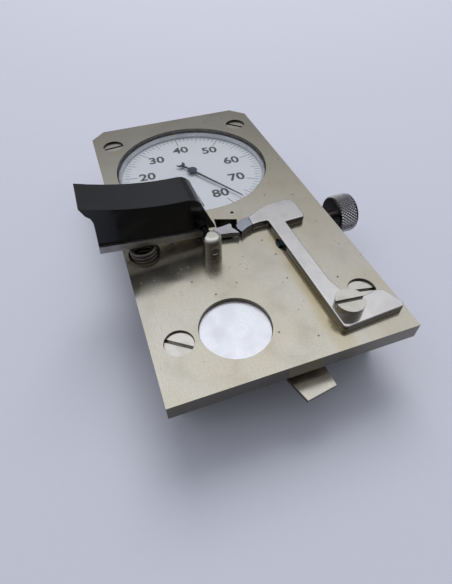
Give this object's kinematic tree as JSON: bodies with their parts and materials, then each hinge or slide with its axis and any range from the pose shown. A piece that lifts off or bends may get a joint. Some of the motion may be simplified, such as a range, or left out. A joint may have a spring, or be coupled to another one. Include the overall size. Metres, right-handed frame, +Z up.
{
  "type": "bench dial thickness gauge",
  "caption": "Bench dial thickness gauge for watch parts: flat plate with a dial, thumb lever, fixed anvil, sliding jaw and knurled side knob.",
  "frame": {"origin": "centre of the rubber base pad's underside, below the centre of the top plate", "axes": "+X right, +Y away from the user along the plate's length, +Z up out of the plate"},
  "size_m": [0.0797, 0.1209, 0.0381],
  "materials": {
    "plate_nickel": "satin nickel plate",
    "housing_paint": "black enamel",
    "rubber_base": "matte",
    "screw_steel": "polished",
    "badge_white": "gloss enamel",
    "blued_steel": "blued",
    "tool_steel": "ground and polished",
    "hard_metal": "lapped",
    "dial_silver": "silvered",
    "brass": "satin",
    "crystal_glass": "clear",
    "dark_steel": "oil finished",
    "black_pad": "polished",
    "spring_steel": "tempered",
    "knurl_steel": "knurled, blackened",
    "fibre": "pressed fibre"
  },
  "bodies": {
    "base": {"top_plate": "plate_nickel", "housing": "housing_paint", "base_cover": "housing_paint", "base_pad": "rubber_base", "plate_screws": "screw_steel", "cover_screws": "screw_steel", "badge_disc": "badge_white", "centre_screw": "blued_steel", "anvil_arm": "tool_steel", "anvil_tip": "hard_metal", "anvil_screw": "screw_steel", "dial_plate": "dial_silver", "dial_spacer": "brass", "dial_ring": "dial_silver", "crystal": "crystal_glass", "lever_post": "tool_steel", "rear_bearing": "dark_steel", "lever_axle": "tool_steel", "return_spring": "spring_steel", "guide_rods": "tool_steel", "guide_blocks": "brass", "guide_screws": "blued_steel", "movement_plate": "brass", "movement_screws": "blued_steel", "movement_bridge": "brass", "bridge_pillars": "brass", "bridge_screws": "blued_steel", "hairspring": "blued_steel", "hairspring_stud": "tool_steel", "knob_bush": "brass", "measuring_spring": "spring_steel", "lock_pillar": "tool_steel", "lock_screw": "screw_steel"},
    "lever": {"lever_arm": "dark_steel", "thumb_pad": "black_pad", "pad_screws": "screw_steel"},
    "jaw_slider": {"jaw": "tool_steel", "jaw_carriage": "brass", "jaw_screw": "blued_steel", "drive_pin": "tool_steel"},
    "sector": {"sector_gear": "brass", "sector_arbor": "tool_steel"},
    "wheel": {"drive_wheel": "brass", "wheel_pinion": "tool_steel", "wheel_arbor": "tool_steel"},
    "pointer": {"centre_pinion": "tool_steel", "centre_arbor": "tool_steel", "needle": "blued_steel", "needle_cap": "blued_steel"},
    "adjuster": {"knob": "knurl_steel", "knob_spindle": "tool_steel"},
    "anchor": {"spring_anchor": "brass"},
    "lock": {"lock_lever": "plate_nickel", "lock_shoe": "fibre"}
  },
  "joints": [
    {"name": "lever_press", "type": "hinge", "parent": "base", "child": "lever", "pos_m": [-0.0075, -0.00975, 0.0235], "axis": [0, -1, 0], "range_deg": [0, 4.3], "stiffness_Nm_per_rad": 0.1, "springref_deg": -28.65, "deforming": ["return_spring"]},
    {"name": "jaw_slide", "type": "slide", "parent": "base", "child": "jaw_slider", "axis": [1, 0, 0], "range_m": [0, 0.000774]},
    {"name": "sector_turn", "type": "hinge", "parent": "base", "child": "sector", "pos_m": [0.008, -0.00986, 0.0097], "axis": [0, 0, 1], "range_deg": [0, 4.84]},
    {"name": "wheel_turn", "type": "hinge", "parent": "base", "child": "wheel", "pos_m": [-0.0003, 0.01105, 0.012], "axis": [0, 0, 1], "range_deg": [-38.7, 0]},
    {"name": "pointer_turn", "type": "hinge", "parent": "base", "child": "pointer", "pos_m": [-0.0003, 0.02455, 0.014], "axis": [0, 0, 1], "range_deg": [0, 309.6]},
    {"name": "knob_turn", "type": "hinge", "parent": "base", "child": "adjuster", "pos_m": [0.035, -0.00825, 0.0128], "axis": [1, 0, 0], "range_deg": [-360, 360]},
    {"name": "anchor_slide", "type": "slide", "parent": "base", "child": "anchor", "axis": [1, 0, 0], "range_m": [-0.0005, 0.0005]},
    {"name": "lock_swing", "type": "hinge", "parent": "base", "child": "lock", "pos_m": [0.003, -0.04075, 0.0095], "axis": [0, 0, 1], "range_deg": [-8, 3]}
  ],
  "couplings": [
    {"joint": "jaw_slide", "follows": "lever_press", "m_per_rad": 0.010313},
    {"joint": "sector_turn", "follows": "lever_press", "ratio": 1.125},
    {"joint": "wheel_turn", "follows": "lever_press", "ratio": -9},
    {"joint": "pointer_turn", "follows": "lever_press", "ratio": 72},
    {"joint": "anchor_slide", "follows": "knob_turn", "m_per_rad": 0.000079577}
  ]
}
